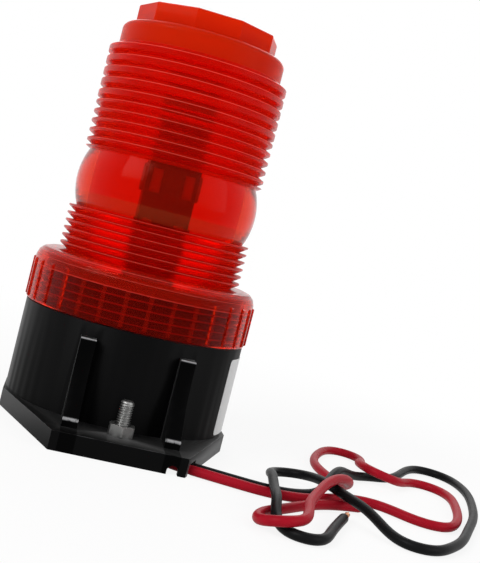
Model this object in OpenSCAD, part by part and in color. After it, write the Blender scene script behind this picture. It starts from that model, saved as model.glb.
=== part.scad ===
// Strobe beacon: red ribbed lens that screws on to a black flanged base,
// with an LED tower and its driver board inside and two loose supply wires.
// Millimetres, +Z up, origin at the centre of the base's underside, front towards -Y.

/* [Mounting flange] */
// How far the flange's straight sides stand out from the body
flange_out = 0.3; // [0.1:0.1:5.3]
// Length between the flange's front and back edges
flange_l = 102; // [98:0.5:120]
// Length of each straight side
flange_side = 17; // [10:0.5:24]
// Length of the straight front and back edges
flange_end = 38; // [36:0.5:44]
// Height of the skirt, from the underside to the flange's top
skirt_h = 5.4; // [5.2:0.1:8]
// Thickness of the flange plate over the hollow skirt
flange_t = 2; // [1.6:0.1:2.2]
// Thickness of the skirt's wall
skirt_wall = 2.2; // [1.6:0.1:2.6]
// Distance of the mounting screws' middles from the body's side
bolt_gap = 5.3; // [4.3:0.1:8.3]
// Diameter of the mounting screws' holes
bolt_hole_d = 4.5; // [4.3:0.1:5]

/* [Wire notches] */
// Width of the notch that both wires leave by
exit_notch_w = 7.2; // [6.6:0.1:8]
// Distance of that notch's near end from the flange's front corner
exit_notch_in = 2.4; // [1.8:0.1:4]
// Width of the spare notch in the front skirt
spare_notch_w = 3.2; // [2:0.1:4]
// Height of the spare notch
spare_notch_h = 2.6; // [1.5:0.1:3]
// Distance of the spare notch from the middle of the front edge
spare_notch_x = 15.2; // [10:0.1:16]

/* [Gusset ribs] */
// Distance between the middles of the two ribs beside each screw
gusset_spacing = 29; // [24:0.5:31]
// Thickness of each rib
gusset_t = 4.4; // [2:0.1:5]
// Height of the ribs above the flange
gusset_h = 24; // [18:0.5:26]
// How far a rib's top stands out from the body
gusset_top_out = 1.5; // [0.3:0.1:3.3]
// How far a rib's foot stands out from the body
gusset_foot_out = 9.8; // [6:0.1:12.3]
// Height of the upright face of a rib's foot
gusset_foot_h = 2.3; // [1:0.1:4]
// Straight stretch at the top of a rib's front edge
gusset_land = 2.4; // [1:0.1:4]

/* [Body and neck] */
// Outside diameter of the body
body_d = 69.4; // [68:0.2:70]
// Height of the body above the flange
body_h = 28; // [27:0.5:36]
// Thickness of the body's wall
body_wall = 2.4; // [1.8:0.1:2.8]
// Thickness of the ledge between body and neck
ledge_t = 2.4; // [1.8:0.1:3]
// Width of the ledge between the body's side and the root of the neck's thread
neck_step = 3.5; // [3.2:0.1:4.2]
// Height of the neck above the ledge
neck_h = 13.2; // [12.6:0.1:16]
// Thickness of the neck's wall
neck_wall = 2.2; // [1.6:0.1:2.6]
// Diameter of the posts that hold the bottom cover
post_d = 5.2; // [4.4:0.1:6]
// Diameter of the bosses that hold the circuit board
boss_d = 4.6; // [4:0.1:5.2]
// Height of those bosses below the ledge
boss_h = 2; // [1.5:0.1:4]

/* [Lens collar] */
// How far the collar stands out from the body, without its grip ribs
collar_out = 0.3; // [-0.2:0.1:1.3]
// Room for the thread between the neck and the collar's bore
thread_room = 0.9; // [0.6:0.05:1.2]
// Gap between the collar's lower edge and the ledge
collar_gap = 0.3; // [0.2:0.05:0.6]
// Thickness of the collar's top, which sits over the seal
shoulder_t = 2.6; // [2:0.1:3.2]
// Radius of the collar's rounded top edge
collar_round = 3.8; // [2:0.1:4.4]
// Number of grip ribs round the collar
grip_count = 32; // [24:2:40]
// Width of each grip rib
grip_w = 1.4; // [0.8:0.1:2]
// Height of each grip rib above the collar
grip_h = 0.5; // [0.3:0.05:0.8]
// Smooth stretch of the collar above and below the grip ribs
grip_land = 0.6; // [0.3:0.1:2]
// Thickness of the sealing ring on the neck's rim
seal_t = 1.2; // [0.8:0.1:2]
// Gap between the sealing ring and the lens
seal_gap = 0.2; // [0.1:0.05:0.4]

/* [Lens] */
// Radius at the bottom of the grooves between ribs
root_r = 26.4; // [25.8:0.1:27]
// Radius of the upper ribs' crests
crest_r = 28.4; // [27.6:0.1:29]
// Radius of the lower ribs' crests
lower_crest_r = 28.9; // [27.8:0.1:29.4]
// Number of lower ribs
lower_ribs = 6; // [4:1:8]
// Pitch of the lower ribs
lower_pitch = 2.35; // [2:0.05:2.8]
// Height of the smooth barrel between the ribbed parts
barrel_h = 17.8; // [16:0.2:24]
// Radius of the barrel at its ends
barrel_end_r = 26.8; // [26:0.1:27.2]
// Radius of the barrel at its middle
barrel_mid_r = 28.7; // [27.8:0.1:29.2]
// Height of the lip over the barrel
lip_h = 1.3; // [0.8:0.1:2]
// Number of fine ribs above the barrel
fine_ribs = 5; // [3:1:7]
// Pitch of the fine ribs
fine_pitch = 2.95; // [2.3:0.05:3.2]
// Number of coarse ribs above the fine ones
coarse_ribs = 5; // [3:1:7]
// Pitch of the coarse ribs
coarse_pitch = 3.5; // [3.1:0.05:3.8]
// Radius of the round step above the ribs
step_r = 25.9; // [25.2:0.1:26.2]
// Height of that step's upright side
step_h = 4.9; // [3:0.1:8]
// Radius of that step's rounded edge
step_round = 2; // [1.5:0.1:2.8]
// Thickness of the wall over the hollow at that edge
step_wall = 1.4; // [1:0.1:2.6]
// Corner radius of the faceted top
top_r = 22.4; // [20.6:0.1:23]
// Height of the faceted top
top_h = 6.2; // [3:0.1:9]
// Number of facets round the top
top_facets = 10; // [8:1:12]
// Turn of those facets, in degrees
top_turn = 2; // [0:1:36]
// Radius of the lens's hollow at the collar
hollow_r = 24.4; // [23.6:0.1:24.8]
// Radius of the hollow below the top
hollow_top_r = 23.3; // [22.4:0.1:23.6]
// Radius of the hollow inside the faceted top
top_hollow_r = 18.4; // [17:0.1:19]
// Thickness of the lens's top wall
top_wall = 2.2; // [1.6:0.1:3]

/* [LED tower] */
// Width of the tower over its boards
tower_w = 16; // [14:0.5:20]
// Height of the tower above the circuit board
tower_h = 73; // [66:0.5:76]
// Thickness of each tower board
tower_board_t = 1.2; // [0.8:0.1:1.6]
// Thickness of the tower's top board
tower_cap_t = 1.6; // [1:0.1:2]
// Width of an LED
led_w = 3; // [2:0.1:3.5]
// Length of an LED
led_l = 5.7; // [4:0.1:6]
// Thickness of an LED
led_t = 0.9; // [0.6:0.1:1.2]
// Distance between the two columns of LEDs on a board
led_column_gap = 10; // [8:0.5:10]
// Number of LEDs in a column
led_rows = 4; // [2:1:5]
// Distance from one LED to the next in a column
led_pitch = 12; // [8:0.5:13]
// Height of the lowest LED's middle above the circuit board
led_first = 24; // [12:0.5:26]

/* [Circuit board] */
// Thickness of the circuit board
board_t = 1.6; // [1:0.1:2]
// Gap between the board's edge and the body's wall
board_gap = 0.6; // [0.3:0.1:1]
// Gap between the board's notches and the cover posts
post_gap = 0.5; // [0.3:0.1:1]
// Diameter of the smoothing capacitor
capacitor_d = 8; // [6.3:0.1:10]
// Height of the smoothing capacitor
capacitor_h = 11.5; // [8:0.5:14]
// Diameter of the power inductor
inductor_d = 7.8; // [6:0.1:9]
// Height of the power inductor
inductor_h = 5; // [3.5:0.1:7]
// Length of the driver chip's body
chip_l = 4.9; // [4:0.1:6]
// Width of the driver chip's body
chip_w = 3.9; // [3:0.1:4.5]
// Height of the driver chip
chip_h = 1.6; // [1.2:0.1:2]
// Distance of the parts' middles from the board's edge
parts_in = 13.2; // [11.7:0.1:14.2]

/* [Bottom cover] */
// Gap between the cover's edge and the body's wall
cover_gap = 0.3; // [0.2:0.1:0.6]

/* [Fasteners] */
// Diameter of the mounting screws' threads
bolt_d = 4; // [3.5:0.1:4.1]
// Length of the mounting screws below their heads
bolt_l = 12; // [10:0.5:14]
// Diameter of the mounting screws' heads
bolt_head_d = 8; // [7:0.1:8.6]
// Height of the mounting screws' heads
bolt_head_h = 2.4; // [2:0.1:2.8]
// Width across the flats of the nuts
nut_af = 7; // [6:0.1:8]
// Thickness of the nuts
nut_h = 3.2; // [2.2:0.1:3.6]
// Diameter of the small screws in the cover and the board
small_d = 2.2; // [1.8:0.1:2.4]
// Diameter of the small screws' heads
small_head_d = 4; // [3.4:0.1:4.2]
// Height of the small screws' heads
small_head_h = 1.6; // [1.2:0.1:1.8]
// Length of the cover's screws below their heads
cover_screw_l = 7; // [5:0.5:9]
// Room between a screw and its hole, on the diameter
screw_fit = 0.2; // [0.1:0.05:0.4]

/* [Wires] */
// Outside diameter of each supply wire
wire_d = 2.8; // [2.4:0.1:2.9]
// Diameter of a wire's copper core
core_d = 1.5; // [1:0.1:1.8]
// Length of bare copper at the black wire's end
black_bare = 5; // [2:0.5:8]
// Length of bare copper at the red wire's end
red_bare = 0.6; // [0.4:0.1:4]
// Distance between the two wires where they run side by side
wire_pitch = 3.3; // [3:0.1:3.6]
// Gap between the wires and the surface under them
wire_lift = 0.2; // [0.1:0.05:0.4]
// Distance of the leads' upright stretch from the body's wall
lead_in = 15; // [14:0.5:17]
// Distance of the red lead's upright stretch from the middle
lead_x = 7; // [5:0.5:8]
// Distance between the two leads inside the body
lead_pitch = 3.5; // [3.2:0.1:4]
// Straight stretch of each wire outside the skirt
lead_out = 5; // [3:0.5:6]

/* [Hidden] */
$fn = 96;
eps = 0.01;

// Levels, from the surface upwards
z_plate = skirt_h - flange_t;
z_flange = skirt_h;
z_ledge = z_flange + body_h;
z_under_ledge = z_ledge - ledge_t;
z_neck = z_ledge + neck_h;
z_seat = z_neck + seal_t + seal_gap;
z_collar = z_ledge + collar_gap;
z_shoulder = z_seat + shoulder_t;
z_barrel = z_shoulder + lower_ribs * lower_pitch;
z_lip = z_barrel + barrel_h;
z_fine = z_lip + lip_h;
z_coarse = z_fine + fine_ribs * fine_pitch;
z_step = z_coarse + coarse_ribs * coarse_pitch;
z_round = z_step + step_h;
z_cap = z_round + step_round;
z_hollow = z_cap - step_wall;
z_top = z_cap + top_h;
z_board = z_under_ledge - boss_h;
z_board_low = z_board - board_t;
z_tower = z_board + tower_h;

// Radii
body_r = body_d / 2;
body_in_r = body_r - body_wall;
neck_r = body_r - neck_step;
neck_in_r = neck_r - neck_wall;
collar_r = body_r + collar_out;
collar_in_r = neck_r + thread_room;
board_r = body_in_r - board_gap;
parts_r = board_r - parts_in;
bolt_at = body_r + bolt_gap;
gusset_top_reach = body_r + gusset_top_out;
gusset_foot_reach = body_r + gusset_foot_out;
wall_bite = 0.3;
post_at = body_in_r + wall_bite - post_d / 2;
boss_at = body_in_r + wall_bite - boss_d / 2;
post_angles = [30, 150, 270];
boss_angles = [90, 210, 330];

// The flange's sloping corner edge: its direction, outward normal and distance from the axis
side_x = body_r + flange_out;
side_corner = [side_x, -flange_side / 2];
front_corner = [flange_end / 2, -flange_l / 2];
corner_run = (side_corner - front_corner) / norm(side_corner - front_corner);
corner_normal = [corner_run[1], -corner_run[0]];
corner_reach = corner_normal * front_corner;

// Corners of the flange's outline, moved inwards by a wall
function flange_points(inset) =
  let (
    x1 = side_x - inset,
    y2 = flange_l / 2 - inset,
    reach = corner_reach - inset,
    y1 = (reach - corner_normal[0] * x1) / -corner_normal[1],
    x2 = (reach + corner_normal[1] * y2) / corner_normal[0]
  )
  [[x1, y1], [x2, y2], [-x2, y2], [-x1, y1], [-x1, -y1], [-x2, -y2], [x2, -y2], [x1, -y1]];

// Where each wire leaves the skirt: 0 is red, 1 is black
wire_lay = wire_d / 2 + wire_lift;
function wire_exit(k) =
  let (along = exit_notch_in + exit_notch_w / 2 + (k - 0.5) * wire_pitch,
       p = front_corner + along * corner_run)
  [p[0], p[1], wire_lay];
function wire_out(k) = wire_exit(k) + lead_out * [corner_normal[0], corner_normal[1], 0];

// Each wire's way from the notch, under the wall and up to the board's underside
lead_step = [lead_pitch, 0.26 * lead_pitch, 0];
function lead_route(k) = concat(
  [wire_exit(k), 2 * wire_exit(k) - wire_out(k)],
  [for (p = [
      [0.62 * lead_x, -0.47 * lead_in, wire_lay],
      [0.32 * lead_x, 0.11 * lead_in, wire_lay],
      [0.12 * lead_x, 0.4 * lead_in, z_plate],
      [0, 0.64 * lead_in, z_flange + 0.11 * lead_in],
      [0, 0.89 * lead_in, z_flange + 0.44 * lead_in],
      [0, lead_in, (z_flange + z_board_low) / 2],
      [0, lead_in, z_board_low]
    ]) [lead_x, -body_in_r, 0] + p + k * lead_step]);

// The red wire on the surface: right loop, upper loop, lower left loop, then its cut end
red_route = concat([wire_exit(0), wire_out(0)], [
  [32, -51, 1.6], [39.5, -53.5, 1.6], [46.5, -54, 1.6], [53.5, -52, 1.6], [60.5, -47, 1.6], [68.5, -42, 1.6],
  [76, -41, 1.6], [82, -45.5, 1.6], [87.5, -51.5, 1.6], [94.5, -52.5, 1.6], [100, -47, 1.6], [106, -34.5, 1.6],
  [110.5, -20.5, 1.6], [112.5, -9.5, 1.6], [110, -2, 1.6], [104, 0, 1.6], [98.5, -4.5, 1.8], [94, -10, 2.8],
  [89.5, -13, 4], [84.5, -11.5, 4.8], [82.5, -5.5, 4.8], [84, 2.5, 4], [87.5, 10.5, 2], [90, 17.5, 1.6],
  [88.8, 23.5, 1.6], [83.5, 26.3, 1.6], [78, 22.7, 1.6], [74, 16, 1.6], [70.5, 8, 1.6], [67.5, -3.5, 1.6],
  [68, -16.5, 1.6], [70.5, -27.5, 1.8], [69, -38, 5.6], [63, -46.5, 7.8], [57, -55, 7.4], [52, -64.5, 6.2],
  [48, -74, 5.6], [46, -82.5, 5], [42, -88.9, 4.8], [36.4, -89.3, 4], [33.4, -84, 2], [35.2, -76.5, 1.6],
  [41.5, -69.5, 1.6], [48, -63, 1.6], [54.5, -57, 1.6], [61.5, -52.5, 1.6], [70, -49.5, 1.6]]);

// The black wire on the surface: arch, big right loop, front loop, left loop, then its stripped end
black_route = concat([wire_exit(1), wire_out(1)], [
  [33, -47.7, 1.6], [40.5, -50, 1.6], [48, -50.2, 1.6], [54.5, -47, 1.6], [60, -40.5, 1.6], [64.5, -32, 3.2],
  [69, -24, 5], [74, -16.5, 3.6], [79.5, -10.5, 1.8], [85.5, -6, 1.6], [92, -3.5, 1.6], [97.5, 2.5, 1.6],
  [103, 11.5, 1.6], [108.5, 20, 1.6], [115.5, 25, 1.6], [122, 22, 1.6], [124.5, 13, 1.6], [123, -0.5, 1.6],
  [118.5, -15.5, 1.6], [111.5, -33.5, 1.6], [102.5, -51, 1.6], [94, -66, 1.6], [87, -74.5, 1.6], [81, -79, 1.6],
  [75, -78, 1.6], [71.5, -71.5, 2], [68.5, -63, 4], [64.5, -52.5, 4.6], [60.5, -42.5, 5], [58.6, -34.5, 4],
  [54.5, -29.1, 2.8], [49, -29.3, 2.2], [45.8, -35, 2.8], [44.2, -43.5, 4.6], [42.8, -53, 4.7], [41.4, -62.5, 4.6],
  [40, -71.5, 4.9], [38.6, -79, 3], [39, -84.9, 1.6], [41.8, -89.7, 1.6], [46.4, -90.9, 1.6], [50, -87.9, 1.6],
  [52, -83.5, 1.6], [54.4, -78, 1.6], [57.5, -71.5, 1.6], [61, -64.5, 1.6]]);

function unit(v) = v / norm(v);
function heading(path, i) = unit(path[min(i + 1, len(path) - 1)] - path[max(i - 1, 0)]);
function end_heading(path) = heading(path, len(path) - 1);
function last(path) = path[len(path) - 1];

red_colour = [0.66, 0.05, 0.09];
black_colour = [0.05, 0.05, 0.05];
lens_colour = [0.82, 0.06, 0.02, 0.55];
steel_colour = [0.62, 0.62, 0.60];
board_colour = [0.05, 0.16, 0.09];
copper_colour = [0.72, 0.42, 0.24];

// A round tube swept along a path, one ring of sides at each point
module wire_tube(path, d, up = [0, 0, 1], sides = 8) {
  points = [for (i = [0 : len(path) - 1])
    let (t = heading(path, i), across = unit(cross(t, up)), over = cross(across, t))
    for (k = [0 : sides - 1])
      path[i] + d / 2 * (cos(360 * k / sides) * across + sin(360 * k / sides) * over)];
  walls = [for (i = [0 : len(path) - 2], k = [0 : sides - 1])
    let (a = i * sides + k, b = i * sides + (k + 1) % sides)
    [a, a + sides, b + sides, b]];
  near_cap = [for (k = [0 : sides - 1]) k];
  far_cap = [for (k = [0 : sides - 1]) len(points) - 1 - k];
  polyhedron(points, concat(walls, [near_cap, far_cap]));
}

module at_angles(angles, r) {
  for (a = angles) rotate(a) translate([r, 0, 0]) children();
}

// A pan-head screw with a cross recess, its head's seat at z = 0 and its thread upwards
module pan_screw(d, l, head_d, head_h) {
  point = 0.12 * d;
  recess_w = 0.16 * head_d;
  edge = 0.4 * head_h;
  difference() {
    rotate_extrude()
      polygon([[0, -head_h], [head_d / 2 - edge, -head_h], [head_d / 2, -head_h + edge], [head_d / 2, 0],
        [d / 2, 0], [d / 2, l - point], [d / 2 - point, l], [0, l]]);
    for (a = [0, 90])
      rotate(a) translate([0, 0, -head_h])
        cube([0.56 * head_d, recess_w, head_h], center = true);
  }
}

module hex_nut(af, h, bore_d) {
  corner = af / cos(30) / 2;
  bevel = 0.5 * (corner - af / 2);
  difference() {
    intersection() {
      rotate(30) cylinder(r = corner, h = h, $fn = 6);
      rotate_extrude()
        polygon([[0, 0], [corner - bevel, 0], [corner, bevel], [corner, h - bevel], [corner - 2 * bevel, h], [0, h]]);
    }
    translate([0, 0, -eps]) cylinder(d = bore_d, h = h + 2 * eps);
  }
}

// Side view of a gusset rib: x is the distance from the axis, y the height
module gusset_outline() {
  flare = gusset_foot_reach - gusset_top_reach;
  z_foot = z_flange + gusset_foot_h;
  z_bend = z_flange + gusset_h - gusset_land;
  bend_r = (pow(flare, 2) + pow(z_bend - z_foot, 2)) / (2 * flare);
  difference() {
    translate([body_in_r / 2, z_plate]) square([gusset_foot_reach - body_in_r / 2, z_flange + gusset_h - z_plate]);
    translate([gusset_top_reach + bend_r, z_bend]) circle(bend_r);
    translate([gusset_top_reach, z_bend]) square([2 * flare, 2 * gusset_land]);
  }
}

module gusset_ribs() {
  for (a = [90, -90], side = [-1, 1])
    rotate(a) translate([0, side * gusset_spacing / 2, 0])
      rotate([90, 0, 0]) linear_extrude(gusset_t, center = true) gusset_outline();
}

// Openings at the skirt's lower edge: the wires' exit on the sloping edge, and the spare notch
module wire_notches() {
  exit_middle = front_corner + (exit_notch_in + exit_notch_w / 2) * corner_run;
  translate([exit_middle[0], exit_middle[1], 0]) rotate(atan2(corner_normal[1], corner_normal[0]))
    translate([-2 * skirt_wall, -exit_notch_w / 2, -eps]) cube([4 * skirt_wall, exit_notch_w, z_plate + eps]);
  translate([spare_notch_x, -flange_l / 2, 0]) {
    rotate([90, 0, 0]) translate([0, spare_notch_h - spare_notch_w / 2, 0])
      cylinder(d = spare_notch_w, h = 4 * skirt_wall, center = true);
    translate([-spare_notch_w / 2, -2 * skirt_wall, -eps])
      cube([spare_notch_w, 4 * skirt_wall, spare_notch_h - spare_notch_w / 2 + eps]);
  }
}

module base_housing() {
  color(black_colour) {
    difference() {
      union() {
        linear_extrude(skirt_h) polygon(flange_points(0));
        translate([0, 0, z_plate]) cylinder(r = body_r, h = z_ledge - z_plate);
        translate([0, 0, z_under_ledge]) cylinder(r = neck_r, h = z_neck - z_under_ledge);
        gusset_ribs();
      }
      translate([0, 0, -eps]) linear_extrude(z_plate + eps) polygon(flange_points(skirt_wall));
      translate([0, 0, -eps]) cylinder(r = body_in_r, h = z_under_ledge + eps);
      cylinder(r = neck_in_r, h = z_neck + eps);
      for (y = [-1, 1]) translate([0, y * bolt_at, 0]) cylinder(d = bolt_hole_d, h = z_flange + eps);
      wire_notches();
    }
    difference() {
      intersection() {
        union() {
          at_angles(post_angles, post_at) translate([0, 0, z_flange])
            cylinder(d = post_d, h = z_under_ledge + eps - z_flange);
          at_angles(boss_angles, boss_at) translate([0, 0, z_board])
            cylinder(d = boss_d, h = boss_h + eps);
        }
        cylinder(r = body_in_r + eps, h = z_neck);
      }
      at_angles(post_angles, post_at) translate([0, 0, z_plate])
        cylinder(d = small_d + screw_fit, h = flange_t + cover_screw_l);
      at_angles(boss_angles, boss_at) translate([0, 0, z_board_low])
        cylinder(d = small_d + screw_fit, h = board_t + boss_h);
    }
  }
}

module bottom_cover() {
  color([0.07, 0.07, 0.07])
    translate([0, 0, z_plate]) linear_extrude(flange_t) difference() {
      circle(body_in_r - cover_gap);
      at_angles(post_angles, post_at) circle(d = small_d + screw_fit);
      translate([lead_x - 0.8 * wire_d, -body_in_r - wire_d])
        square([1.6 * wire_d + 0.32 * lead_x + lead_pitch, 0.83 * lead_in + wire_d]);
    }
}

module cover_screws() {
  color(steel_colour) at_angles(post_angles, post_at) translate([0, 0, z_plate])
    pan_screw(small_d, cover_screw_l, small_head_d, small_head_h);
}

module circuit_board() {
  color(board_colour) translate([0, 0, z_board_low]) linear_extrude(board_t) difference() {
    circle(board_r);
    at_angles(post_angles, post_at) circle(d = post_d + 2 * post_gap);
    at_angles(boss_angles, boss_at) circle(d = small_d + screw_fit);
  }
}

module board_screws() {
  color(steel_colour) at_angles(boss_angles, boss_at) translate([0, 0, z_board_low])
    pan_screw(small_d, board_t + boss_h - screw_fit, small_head_d, small_head_h);
}

// One upright board of the tower, facing -Y before it is turned
module tower_board(w) {
  color(board_colour) translate([-w / 2, -tower_w / 2, z_board]) cube([w, tower_board_t, tower_h]);
}

side_board_w = tower_w - 2 * tower_board_t;
module led_board_front() tower_board(tower_w);
module led_board_back() rotate(180) tower_board(tower_w);
module led_board_left() rotate(-90) tower_board(side_board_w);
module led_board_right() rotate(90) tower_board(side_board_w);

module tower_cap() {
  color(board_colour) translate([-tower_w / 2, -tower_w / 2, z_tower]) cube([tower_w, tower_w, tower_cap_t]);
}

module led() {
  window = 0.5;
  color([0.93, 0.88, 0.70]) {
    translate([-led_w / 2, -led_t, -led_l / 2]) cube([led_w, led_t, led_l]);
    translate([window - led_w / 2, -led_t - 0.15, window - led_l / 2])
      cube([led_w - 2 * window, led_t, led_l - 2 * window]);
  }
}

module leds() {
  for (face = [0 : 3], column = [-0.5, 0.5], row = [0 : led_rows - 1])
    rotate(90 * face)
      translate([column * led_column_gap, -tower_w / 2, z_board + led_first + row * led_pitch]) led();
}

module driver_chip() {
  lead_w = 0.5;
  color([0.1, 0.1, 0.1]) rotate(-135) translate([parts_r, 0, z_board]) {
    translate([-chip_w / 2, -chip_l / 2, 0]) cube([chip_w, chip_l, chip_h]);
    for (i = [-1.5 : 1.5])
      translate([-chip_w / 2 - 1, i * 1.27 - lead_w / 2, 0]) cube([chip_w + 2, lead_w, chip_h / 2]);
  }
}

module power_inductor() {
  flange = 0.2 * inductor_h;
  color([0.2, 0.2, 0.22]) rotate(150) translate([parts_r, 0, z_board]) rotate_extrude()
    polygon([[0, 0], [inductor_d / 2, 0], [inductor_d / 2, flange], [0.42 * inductor_d, flange],
      [0.42 * inductor_d, inductor_h - flange], [inductor_d / 2, inductor_h - flange], [inductor_d / 2, inductor_h],
      [0, inductor_h]]);
}

module smoothing_capacitor() {
  groove = 0.06 * capacitor_d;
  z_groove = 0.2 * capacitor_h;
  color([0.08, 0.09, 0.16]) rotate(190) translate([parts_r, 0, z_board]) rotate_extrude()
    polygon([[0, 0], [capacitor_d / 2, 0], [capacitor_d / 2, z_groove - groove], [capacitor_d / 2 - groove, z_groove],
      [capacitor_d / 2, z_groove + groove], [capacitor_d / 2, capacitor_h - groove],
      [capacitor_d / 2 - groove, capacitor_h], [0, capacitor_h]]);
}

module polarity_diode() {
  color([0.1, 0.1, 0.1]) rotate(120) translate([parts_r, 0, z_board]) {
    translate([-1.3, -2.2, 0]) cube([2.6, 4.4, 2.2]);
    translate([-0.7, -2.7, 0]) cube([1.4, 5.4, 0.9]);
  }
}

module chip_resistors() {
  color([0.12, 0.12, 0.12]) for (a = [-112, -104, -96])
    rotate(a) translate([parts_r - 1, -0.8, z_board]) cube([3.2, 1.6, 0.6]);
}

// Outline of a run of ribs from z upwards: each rises from the root to its crest,
// keeps the crest for a land, and falls back to the root at the next rib
function rib_run(z, count, pitch, crest, rise, land) =
  [for (i = [0 : count - 1]) each
    [[root_r, z + i * pitch], [crest, z + i * pitch + rise], [crest, z + i * pitch + rise + land]]];

module lens_outline() {
  barrel_bulge = barrel_mid_r - barrel_end_r;
  barrel_arc_r = (pow(barrel_h / 2, 2) + pow(barrel_bulge, 2)) / (2 * barrel_bulge);
  shoulder_r = collar_r - collar_round;
  polygon(concat(
    [[0, z_collar], [collar_r, z_collar], [collar_r, z_shoulder - collar_round],
      [shoulder_r, z_shoulder - collar_round], [shoulder_r, z_shoulder]],
    rib_run(z_shoulder, lower_ribs, lower_pitch, lower_crest_r, 0.72 * lower_pitch, 0.2 * lower_pitch),
    [[root_r, z_barrel], [root_r, z_lip], [barrel_end_r, z_lip], [crest_r, z_lip + 0.7 * lip_h], [crest_r, z_fine]],
    rib_run(z_fine, fine_ribs, fine_pitch, crest_r, 0.42 * fine_pitch, 0.24 * fine_pitch),
    rib_run(z_coarse, coarse_ribs, coarse_pitch, crest_r, 0.12 * coarse_pitch, 0.5 * coarse_pitch),
    [[step_r, z_step], [step_r, z_round], [step_r - step_round, z_round], [step_r - step_round, z_cap], [0, z_cap]]));
  translate([shoulder_r, z_shoulder - collar_round]) intersection() {
    circle(collar_round);
    square(collar_round);
  }
  translate([step_r - step_round, z_round]) intersection() {
    circle(step_round);
    square(step_round);
  }
  intersection() {
    translate([barrel_mid_r - barrel_arc_r, z_barrel + barrel_h / 2]) circle(barrel_arc_r);
    translate([root_r - 1, z_barrel]) square([barrel_mid_r, barrel_h]);
  }
}

module lens_hollow() {
  rotate_extrude()
    polygon([[0, z_collar - eps], [collar_in_r, z_collar - eps], [collar_in_r, z_seat], [hollow_r, z_seat],
      [hollow_top_r, z_hollow], [top_hollow_r, z_hollow], [top_hollow_r, z_top - top_wall], [0, z_top - top_wall]]);
}

module grip_ribs() {
  at_angles([for (i = [0 : grip_count - 1]) 360 * i / grip_count], collar_r - grip_h)
    translate([0, -grip_w / 2, z_collar + grip_land])
      cube([2 * grip_h, grip_w, z_shoulder - collar_round - z_collar - 2 * grip_land]);
}

module lens() {
  color(lens_colour) difference() {
    union() {
      rotate_extrude() lens_outline();
      translate([0, 0, z_cap - eps]) rotate(top_turn) cylinder(r = top_r, h = top_h + eps, $fn = top_facets);
      grip_ribs();
    }
    lens_hollow();
  }
}

module seal_ring() {
  color([0.09, 0.09, 0.09]) translate([0, 0, z_neck]) difference() {
    cylinder(r = neck_r, h = seal_t);
    translate([0, 0, -eps]) cylinder(r = neck_in_r, h = seal_t + 2 * eps);
  }
}

module mounting_screws() {
  color(steel_colour) for (y = [-1, 1])
    translate([0, y * bolt_at, z_plate]) pan_screw(bolt_d, bolt_l, bolt_head_d, bolt_head_h);
}

module mounting_nuts() {
  color(steel_colour) for (y = [-1, 1])
    translate([0, y * bolt_at, z_flange]) hex_nut(nut_af, nut_h, bolt_d + screw_fit);
}

lead_side = [1, 0.4, 0];
module red_lead() color(red_colour) wire_tube(lead_route(0), wire_d, lead_side);
module black_lead() color(black_colour) wire_tube(lead_route(1), wire_d, lead_side);
module red_wire() color(red_colour) wire_tube(red_route, wire_d);
module black_wire() color(black_colour) wire_tube(black_route, wire_d);

// Bare copper standing out of a wire's far end
module bare_end(path, l) {
  color(copper_colour) wire_tube([last(path), last(path) + l * end_heading(path)], core_d);
}
module red_wire_end() bare_end(red_route, red_bare);
module black_wire_end() bare_end(black_route, black_bare);

base_housing();
bottom_cover();
cover_screws();
circuit_board();
board_screws();
led_board_front();
led_board_back();
led_board_left();
led_board_right();
tower_cap();
leds();
driver_chip();
power_inductor();
smoothing_capacitor();
polarity_diode();
chip_resistors();
lens();
seal_ring();
mounting_screws();
mounting_nuts();
red_lead();
black_lead();
red_wire();
black_wire();
red_wire_end();
black_wire_end();
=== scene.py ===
"""Strobe beacon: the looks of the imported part, laid out as a Blender add-on and run as a script.

Metres, +Z up, front towards -Y, in the part's own frame.
"""

import math

import bmesh
import bpy
import numpy as np
from bpy.props import FloatProperty, FloatVectorProperty, IntProperty, PointerProperty
from mathutils import Matrix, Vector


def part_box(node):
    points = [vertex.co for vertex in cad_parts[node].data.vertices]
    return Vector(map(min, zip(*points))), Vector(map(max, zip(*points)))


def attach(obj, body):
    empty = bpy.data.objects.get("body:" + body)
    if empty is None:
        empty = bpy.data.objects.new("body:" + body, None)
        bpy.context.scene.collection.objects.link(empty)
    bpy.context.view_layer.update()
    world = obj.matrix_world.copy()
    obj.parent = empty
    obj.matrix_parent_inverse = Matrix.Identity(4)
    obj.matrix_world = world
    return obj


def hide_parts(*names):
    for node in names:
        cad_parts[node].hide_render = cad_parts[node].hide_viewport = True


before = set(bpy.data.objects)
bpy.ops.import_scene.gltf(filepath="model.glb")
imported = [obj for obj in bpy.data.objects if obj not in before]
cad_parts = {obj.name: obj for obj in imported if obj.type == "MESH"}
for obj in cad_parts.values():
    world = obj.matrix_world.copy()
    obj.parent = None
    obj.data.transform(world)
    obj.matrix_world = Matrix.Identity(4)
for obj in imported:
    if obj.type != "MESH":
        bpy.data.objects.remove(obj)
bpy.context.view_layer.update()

bl_info = {
    "name": "Strobe beacon",
    "version": (1, 0, 0),
    "blender": (4, 5, 0),
    "location": "3D View > Sidebar > Beacon",
    "description": "Dresses the packed strobe beacon with its lens, wires, fasteners and finishes",
    "category": "Object",
}

# Levels and radii that the frame gives
COLLAR_Z = float(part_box("lens")[0][2])
TOP_Z = float(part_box("lens")[1][2])
NECK_Z = float(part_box("seal_ring")[0][2])
SEAT_Z = float(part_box("seal_ring")[1][2]) + 0.0002
NECK_R = float(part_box("seal_ring")[1][0])
FLANGE_Z = float(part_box("mounting_nuts")[0][2])
STUD_TOP_Z = float(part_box("mounting_screws")[1][2])

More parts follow.
